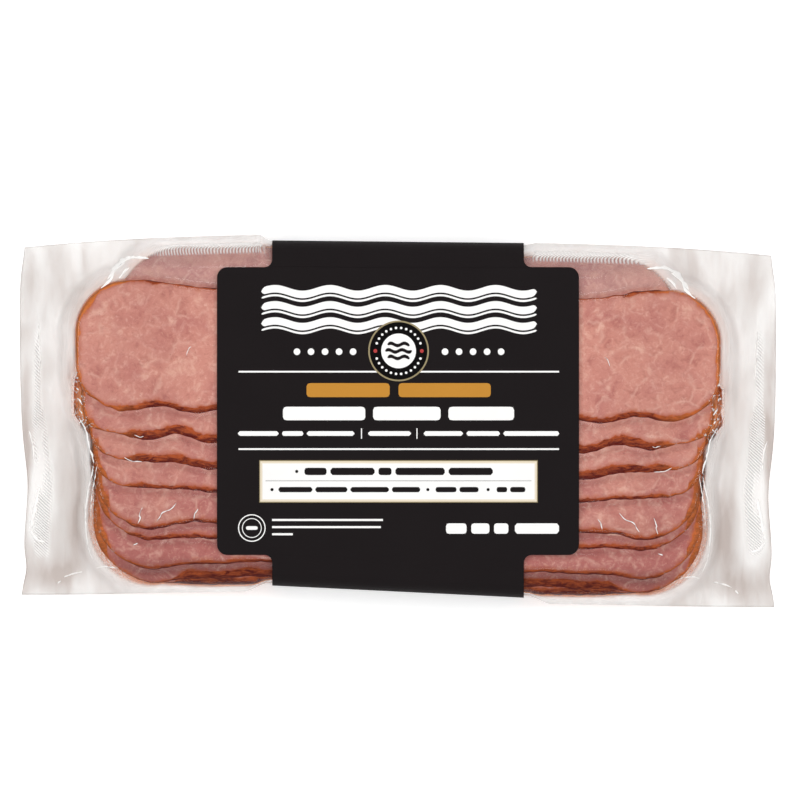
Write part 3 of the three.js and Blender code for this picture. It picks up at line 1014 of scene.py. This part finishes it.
        # Painted reflection of the white surroundings: the cloud is painted palest on the wall round the
        # bacon, and less so on the far wall and by the smoked ends
        wall = smooth(1 - abs(outside - 3) / 5) * (1 - shows * mix(0.4, 1, middle))
        wall *= mix(1, 0.15, smooth((across - 20) / 20))
        # A painted pale sheen lies in a band just past the smoked ends
        painted_sheen_by_ends = 0.6 * shows * smooth(1 - abs(past_ends - 2) / 3.5) * smooth((across + 15) / 10)

        # Brine wets the film on the ends, most in the middle of the pack
        wet = mix(smooth(1.4 - abs(outside - 2) / 3), smooth(1.4 - abs(past_ends + 3) / 4), middle)
        wet *= mix(0.25, 1, middle) * smooth(outside + 1.2)
        return {
            "cloud": max(smooth(past / 1.4) * (1 + 0.6 * wall), 0.2 * self.slack(x, across)),
            "seal": self.knurled(x, y),
            "shade": self.shade(x, y, edge) + wall + painted_sheen_by_ends,
            "crinkle": shows * wet,
        }

    def make_glinting_creases(self, context, film, height):
        """Low, sharp folds that stand on the film, on both halves of the pack."""
        surface = BVHTree.FromObject(bpy.data.objects["film_pouch"], context.evaluated_depsgraph_get())
        bm = bmesh.new()
        for name in ("cloud", "shade"):
            bm.verts.layers.float.new(name)
        for side in (-1, 1):
            for half_width, *line in self.creases:
                self.add_crease(bm, surface, side, half_width, [Vector(point) for point in line], height)
        finish_piece(context, "film_crease_glints", bm, film, "clear_film", sharp=180)

    def add_crease(self, bm, surface, side, half_width, points, height):
        """One fold along a curve through points, laid on the film by a ray from above."""
        cloud_layer = bm.verts.layers.float["cloud"]
        glint_layer = bm.verts.layers.float["shade"]

        def place(vert, u, v, w):
            middle, along = curve_through(points, (u + 1) / 2)
            wander = noise.noise(Vector((*(middle / 1.7), 5 + side)))
            taper = math.sqrt(max(0.02, 1 - u * u))
            half = taper * (half_width * mix(0.5, 1, smooth(0.5 + wander)) * v + 0.25 * wander)
            x = -side * (middle.x - along.y * half)
            y = middle.y + along.x * half - (RIGHT_DROP if side > 0 else 0)
            start = (Vector((x, y, 90)) + SHIFT) * MM
            hit = surface.ray_cast(start, Vector((0, 0, -1)))[0]
            # Each fold is painted opaque and palest: a painted glint
            vert[cloud_layer] = 2.4 + (1 / half_width - 1) * wander
            vert[glint_layer] = 1.6
            ridge = height * (1 - v * v) * (1 - u * u) ** 0.5
            return x, y, hit.z / MM - SHIFT.z + mix(-0.1, 0.05 + ridge, w)

        add_block(bm, 10 * len(points), 4, place)

    def plan(self, i, j):
        """The place in the plane of a grid point."""
        u = 2 * i / self.columns - 1
        v = 2 * j / self.rows - 1
        under = SLEEVE_HALF_WIDTH + 4
        if abs(u) < self.covered:
            x = u / self.covered * under
        else:
            x = math.copysign(mix(under, HALF_LENGTH, (abs(u) - self.covered) / (1 - self.covered)), u)
        middle, half = pouch_span(x)
        y = middle + v * half
        share = smooth((abs(x) - DENT_FROM) / (HALF_LENGTH - DENT_FROM))
        return x + math.copysign(share, x) * (half_length(x, y) - HALF_LENGTH), y

    def bridge(self, heights):
        """Heights of a taut film: the highest point nearby, then the mean of its neighbours."""
        for join in (max, mean, mean):
            lines = [[join(line[max(0, j - 1) : j + 2]) for j in range(len(line))] for line in heights]
            near = [lines[max(0, i - 1) : i + 2] for i in range(len(lines))]
            heights = [[join(column) for column in zip(*three)] for three in near]
        return heights

    def slack(self, x, across):
        """Where the film lies loose and cloudy over the far slice."""
        top = straight_edges(SLICES[-1], abs(x))[1]
        return smooth((across - top - 0.5) / 1.5)

    def shade(self, x, y, edge):
        """How much paler than usual the cloudy film is, or greyer where negative."""
        side = -math.copysign(1, x)
        left_x = x * side
        left_y = y + (RIGHT_DROP if x > 0 else 0)
        # A little greyer along the film's very edge
        shade = -0.2 * smooth(1 - edge / 0.5)
        # Painted highlights and painted shade from the table of spots
        for at_x, at_y, half_x, half_y, amount in self.shades:
            reach = ((left_x - at_x) / half_x) ** 2 + ((left_y - at_y) / half_y) ** 2
            shade += amount * math.exp(-reach)
        return shade

    def knurled(self, x, y):
        """How strongly the seal's ridges show: along both ends, and along the far long side."""
        from_end = half_length(x, y) - abs(x)
        upper = smooth((y + 4) / 12)
        outer = mix(3.4, 5, upper)
        inner = mix(9.6, 8, upper)
        end = smooth((from_end - outer) / 0.8) * smooth((inner - from_end) / 0.8)
        end *= smooth((noise.noise(Vector((x / 4, y / 12, 7))) + 0.4) / 0.4)
        end *= smooth((36 - y) / 8) * smooth((y + 54) / 6)
        middle, half = pouch_span(x)
        from_side = half - (y - middle)
        side = smooth(from_side - 2.5) * smooth((7.6 - from_side) / 1.2)
        side *= smooth((abs(x) - 50) / 4) * smooth((100 - abs(x)) / 12)
        return max(end, 0.7 * side)

    def wrinkle(self, x, y):
        """Soft wrinkles of the flange, drawn out along its seam."""
        broad = noise.noise(Vector((x / 9, y / 22, 1.3)))
        fine = noise.noise(Vector((x / 3.2, y / 11, 4.1)))
        return 0.75 * broad + 0.3 * fine


class BACON_OT_sleeve(bpy.types.Operator):
    """Gives the board sleeve smooth folds and its printed black board"""

    bl_idname = "bacon.sleeve"
    bl_label = "Dress Sleeve"

    def execute(self, context):
        settings = context.scene.bacon_sleeve
        bm = bmesh.new()
        bm.from_mesh(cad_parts["board_sleeve"].data)
        bmesh.ops.remove_doubles(bm, verts=bm.verts, dist=0.01 * MM)
        for vert in bm.verts:
            vert.co = vert.co / MM - SHIFT
        board = printed_board("black_printed_boxboard", settings.black, 0.6)
        piece = finish_piece(context, "sleeve_board", bm, board, "black_board", sharp=30)
        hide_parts("board_sleeve")
        return {"FINISHED"}


class BACON_OT_print(bpy.types.Operator):
    """Prints plain bars, bands, dots and rings on the front panel"""

    bl_idname = "bacon.print"
    bl_label = "Print Label"

    def execute(self, context):
        settings = context.scene.bacon_sleeve
        self.ink = settings.print_height / MM
        self.print_white(context, settings)
        self.print_gold(context, settings)
        self.print_box(context, settings)
        self.print_badge(context, settings)
        return {"FINISHED"}

    def finish_print(self, context, bm, name, ink, colour, slot, roughness=0.55):
        """Finishes a print in an ink of its own."""
        finish_piece(context, name, bm, printed_board(ink, colour, roughness), slot)

    def on_label(self, x, y, w, lift=1.0):
        """A point of a print, w from its underside in the board to its face."""
        return x, y, sleeve_height(x, y) + mix(-0.2, self.ink * lift, w)

    def bar(self, bm, left, right, bottom, top, corner=0.0, lift=1.0):
        """A straight bar with rounded corners."""
        middle_x = (left + right) / 2
        middle_y = (bottom + top) / 2
        half_x = (right - left) / 2
        half_y = (top - bottom) / 2

        def place(_, u, v, w):
            x = bunch(u, 0.9 if corner else 0) * half_x
            cut = corner_cut(abs(x) - half_x + corner, corner) if corner else 0
            return self.on_label(middle_x + x, middle_y + v * (half_y - cut), w, lift)

        add_block(bm, max(8, round(half_x)) if corner else 4, max(2, round(half_y)), place)

    def bars(self, bm, spans, bottom, top, corner=0.0, lift=1.0):
        """A row of bars, each from its left to its right."""
        for left, right in spans:
            self.bar(bm, left, right, bottom, top, corner, lift)

    def ribbon(self, bm, left, right, at, thickness, swing, length, lift=1.0, columns=160):
        """A wavy band, like a rasher, with pointed round ends."""
        half = (right - left) / 2
        middle = (left + right) / 2

        def place(_, u, v, w):
            x = middle + u * half
            end = math.sqrt(clamp((1 - abs(u)) * half / (thickness / 2)))
            wave = swing * math.sin(2 * math.pi * (x - left) / length)
            return self.on_label(x, at + wave + v * end * thickness / 2, w, lift)

        add_block(bm, columns, 4, place)

    def ring(self, bm, middle, inner, outer, lift=1.0, segments=56, bands=4):
        """A flat ring, or a disc where inner is 0."""
        core = max(inner, 0.1 * outer)
        circles = [
            bmesh.ops.create_circle(
                bm,
                segments=segments,
                radius=mix(core, outer, band / bands),
                cap_ends=inner == 0 and band == 0,
            )["verts"]
            for band in range(bands + 1)
        ]
        for near, far in zip(circles, circles[1:]):
            loops = [edge for verts in (near, far) for edge in self.rim(verts)]
            bmesh.ops.bridge_loops(bm, edges=loops)
        flat = {vert for circle in circles for vert in circle}
        faces = list({face for vert in flat for face in vert.link_faces})
        grown = bmesh.ops.extrude_face_region(bm, geom=faces)["geom"]
        raised = {item for item in grown if isinstance(item, bmesh.types.BMVert)}
        for vert in flat | raised:
            w = 1 if vert in raised else 0
            vert.co = self.on_label(middle[0] + vert.co.x, middle[1] + vert.co.y, w, lift)

    def rim(self, verts):
        """The edges that join the given vertices to each other."""
        chosen = set(verts)
        return {edge for vert in verts for edge in vert.link_edges if edge.other_vert(vert) in chosen}

    def print_white(self, context, settings):
        """Wavy bands, dots, rules, rows of bars and a ring mark, from the label's upper edge down."""
        bm = bmesh.new()
        for at in (48.9, 42.7, 36.5):
            self.ribbon(bm, -52.7, 53.5, at + 0.75, 2.9, 1.1, 21.24)
            self.ribbon(bm, -52.7, 53.5, at - 1.75, 0.8, 1.1, 21.24)
        for side in (-28.1, 28.9):
            for k in range(5):
                x = side + (k - 2) * 5.4
                self.bar(bm, x - 1.3, x + 1.3, 25.2, 27.8, 1.3)
        for y in (18.8, -11.0):
            self.bar(bm, -61.4, 62, y - 0.33, y + 0.33)
        self.bars(bm, ((-44.3, -12.6), (-9.6, 16.4), (19.4, 44.7)), 0.1, 5.3, 1.2)
        row = ((-61.6, -46), (-44.6, -36.5), (-35.1, -16.8), (-11.5, 5), (9.9, 25), (26.4, 39.2), (40.6, 62))
        self.bars(bm, row, -5.9, -4.1, 0.7)
        for x in (-14.05, 7.3):
            self.bar(bm, x - 0.2, x + 0.2, -7.0, -3.0)
        self.bars(bm, ((18.5, 26.4), (28.2, 35.2), (37, 42.5), (45, 62)), -43.6, -39.6, 1)
        for k, right in enumerate((-5.8, -6.6, -40.5)):
            y = -38.3 - 2.75 * k
            self.bar(bm, -48.5, right, y - 0.4, y + 0.4)
        self.ring(bm, (-56.3, -41.4), 4.9, 5.3)
        self.ring(bm, (-56.3, -41.4), 3.5, 3.8)
        self.bar(bm, -58.6, -54, -42.1, -40.7, 0.7)
        self.finish_print(context, bm, "white_print", "white_ink_on_board", settings.white, "pale_print")

    def print_gold(self, context, settings):
        """Two broad bars."""
        bm = bmesh.new()
        self.bars(bm, ((-35.2, -3.2), (0.2, 35.7)), 9.0, 14.4, 1.2)
        self.finish_print(context, bm, "gold_print", "gold_ink_on_board", settings.gold, "gold_print", 0.5)

    def print_box(self, context, settings):
        """The framed white box with its two dark lines."""
        for name, ink, colour, slot, inset, lift in (
            ("box_frame_print", "tan_ink_on_board", settings.tan, "gold_print", 0, 1),
            ("box_cream_print", "cream_ink_on_board", settings.cream, "pale_print", 0.35, 2),
            ("box_print", "box_white_ink_on_board", settings.white, "pale_print", 1.2, 3),
        ):
            bm = bmesh.new()
            self.bar(bm, -53.4 + inset, 53.8 - inset, -31.6 + inset, -15.3 - inset, lift=lift)
            self.finish_print(context, bm, name, ink, colour, slot)
        bm = bmesh.new()
        upper = ((-36, -27.5), (-26, -9), (-7.5, -2.5), (-1, 18), (19.5, 36.5))
        self.bars(bm, upper, -21.0, -18.2, 0.9, lift=4)
        lower = ((-46, -33), (-31.8, -19.5), (-18.3, -3.5), (-2.3, 8.5), (14.5, 22.5), (23.7, 31))
        self.bars(bm, (*lower, (38, 42), (43.2, 49)), -27.6, -25.6, 0.7, lift=4)
        for x, y in ((-39, -19.6), (-48.5, -26.6), (11.5, -26.6), (34.7, -26.6)):
            self.ring(bm, (x, y), 0, 0.6, lift=4)
        self.bar(bm, -51, 51.4, -23.3, -23.15, lift=4)
        black = settings.black
        self.finish_print(context, bm, "box_lines_print", "black_ink_on_board", black, "black_board", 0.6)

    def print_badge(self, context, settings):
        """The round badge: a black band with beads, edged with tan, round a white disc with dark waves."""
        x, y = middle = (0.23, 26.8)
        disc, band, rim = 6.7, 11.1, 11.7
        bm = bmesh.new()
        self.ring(bm, middle, band, rim, lift=3)
        self.finish_print(
            context, bm, "badge_rim_print", "badge_tan_ink_on_board", settings.tan, "gold_print"
        )
        bm = bmesh.new()
        self.ring(bm, middle, disc, band, lift=3)
        deep = tuple(c * 0.3 for c in settings.black)
        self.finish_print(
            context, bm, "badge_band_print", "badge_black_ink_on_board", deep, "black_board", 0.6
        )
        bm = bmesh.new()
        self.ring(bm, middle, 0, disc, lift=3)
        for k in range(28):
            angle = 2 * math.pi * (k + 0.5) / 28
            if abs(math.sin(angle)) > 0.3:
                bead = (x + (disc + band) / 2 * math.cos(angle), y + (disc + band) / 2 * math.sin(angle))
                self.ring(bm, bead, 0, 0.5, lift=4, segments=12, bands=1)
        self.finish_print(
            context, bm, "badge_disc_print", "badge_white_ink_on_board", settings.white, "pale_print"
        )
        bm = bmesh.new()
        for dx in (-8.95, 8.95):
            self.ring(bm, (x + dx, y), 0, 0.75, lift=4, segments=16, bands=1)
        self.finish_print(context, bm, "badge_dots_print", "red_ink_on_board", settings.red, "gold_print")
        bm = bmesh.new()
        for dy, half in ((2.5, 4.3), (0, 5.2), (-2.5, 4.3)):
            self.ribbon(bm, x - half, x + half, y + dy, 1.3, 0.45, 5.2, lift=5, columns=40)
        self.finish_print(
            context, bm, "badge_waves_print", "badge_waves_ink_on_board", settings.black, "black_board", 0.6
        )


class BACON_OT_studio(bpy.types.Operator):
    """Sets up the white table, the soft lights and the camera that looks straight down"""

    bl_idname = "bacon.studio"
    bl_label = "Set Up Studio"

    table_reach = 6  # metres from its middle, so that no edge shows
    table_gap = 0.0002  # keeps it clear of the pack's flat underside

    def execute(self, context):
        settings = context.scene.bacon_studio
        scene = context.scene
        bm = bmesh.new()
        bmesh.ops.create_grid(bm, x_segments=4, y_segments=4, size=self.table_reach)
        bmesh.ops.translate(bm, verts=bm.verts, vec=(0, 0, -self.table_gap))
        mesh = bpy.data.meshes.new("table")
        bm.to_mesh(mesh)
        bm.free()
        mesh.materials.append(studio_floor(settings.glow))
        table = bpy.data.objects.new("table", mesh)
        scene.collection.objects.link(table)

        world = bpy.data.worlds.new("white_surroundings")
        world.use_nodes = True
        background = world.node_tree.nodes["Background"]
        background.inputs["Color"].default_value = (1, 1, 1, 1)
        background.inputs["Strength"].default_value = settings.fill
        scene.world = world

        power = settings.key_power
        for name, place, size, energy in (
            ("left_softbox", (-0.75, 0.1, 0.95), (0.45, 0.3), power),
            ("right_softbox", (0.75, 0.1, 0.95), (0.45, 0.3), power),
            ("far_softbox", (0.0, 0.85, 1.0), (0.6, 0.25), 0.9 * power),
            ("near_softbox", (0.0, -0.8, 1.1), (0.6, 0.25), 0.6 * power),
            ("front_softbox", (0.0, 0.0, 8.5), (5.0, 5.0), settings.front_power),
        ):
            light = bpy.data.lights.new(name, "AREA")
            light.shape = "RECTANGLE"
            light.size, light.size_y = size
            light.energy = energy
            lamp = bpy.data.objects.new(name, light)
            lamp.location = place
            aim = Vector((0, 0, 0.02)) - lamp.location
            lamp.rotation_euler = aim.to_track_quat("-Z", "Y").to_euler()
            # The front light and the camera are polarised, so it leaves no glare
            lamp.visible_glossy = name != "front_softbox"
            scene.collection.objects.link(lamp)

        camera = bpy.data.cameras.new("camera")
        camera.sensor_width = 36
        height = settings.camera_height
        label_height = (STACK_HEIGHT + 1) * MM
        camera.lens = camera.sensor_width * (height - label_height) / (PHOTO_SIZE * PIXEL * MM)
        holder = bpy.data.objects.new("camera", camera)
        holder.location = ((PHOTO_CENTRE[0] + SHIFT.x) * MM, (PHOTO_CENTRE[1] + SHIFT.y) * MM, height)
        scene.collection.objects.link(holder)
        scene.camera = holder
        scene.view_settings.view_transform = "Standard"
        return {"FINISHED"}


class BACON_PT_panel(bpy.types.Panel):
    """Lists the steps and their settings"""

    bl_label = "Bacon Pack"
    bl_idname = "BACON_PT_panel"
    bl_space_type = "VIEW_3D"
    bl_region_type = "UI"
    bl_category = "Bacon Pack"

    def draw(self, context):
        layout = self.layout
        for operator in OPERATORS:
            layout.operator(operator.bl_idname)
        for name in SETTINGS:
            box = layout.box()
            settings = getattr(context.scene, name)
            for field in settings.__annotations__:
                box.prop(settings, field)


SETTINGS = {
    "bacon_slices": BaconSettings,
    "bacon_film": FilmSettings,
    "bacon_sleeve": SleeveSettings,
    "bacon_studio": StudioSettings,
}
OPERATORS = (
    BACON_OT_slices,
    BACON_OT_stack,
    BACON_OT_film,
    BACON_OT_sleeve,
    BACON_OT_print,
    BACON_OT_studio,
)


def register():
    for name, group in SETTINGS.items():
        bpy.utils.register_class(group)
        setattr(bpy.types.Scene, name, bpy.props.PointerProperty(type=group))
    for operator in OPERATORS:
        bpy.utils.register_class(operator)
    bpy.utils.register_class(BACON_PT_panel)


def unregister():
    bpy.utils.unregister_class(BACON_PT_panel)
    for operator in reversed(OPERATORS):
        bpy.utils.unregister_class(operator)
    for name, group in reversed(SETTINGS.items()):
        delattr(bpy.types.Scene, name)
        bpy.utils.unregister_class(group)


def main():
    register()
    bpy.ops.bacon.slices()
    bpy.ops.bacon.stack()
    bpy.ops.bacon.film()
    bpy.ops.bacon.sleeve()
    bpy.ops.bacon.print()
    bpy.ops.bacon.studio()


if __name__ == "__main__":
    main()
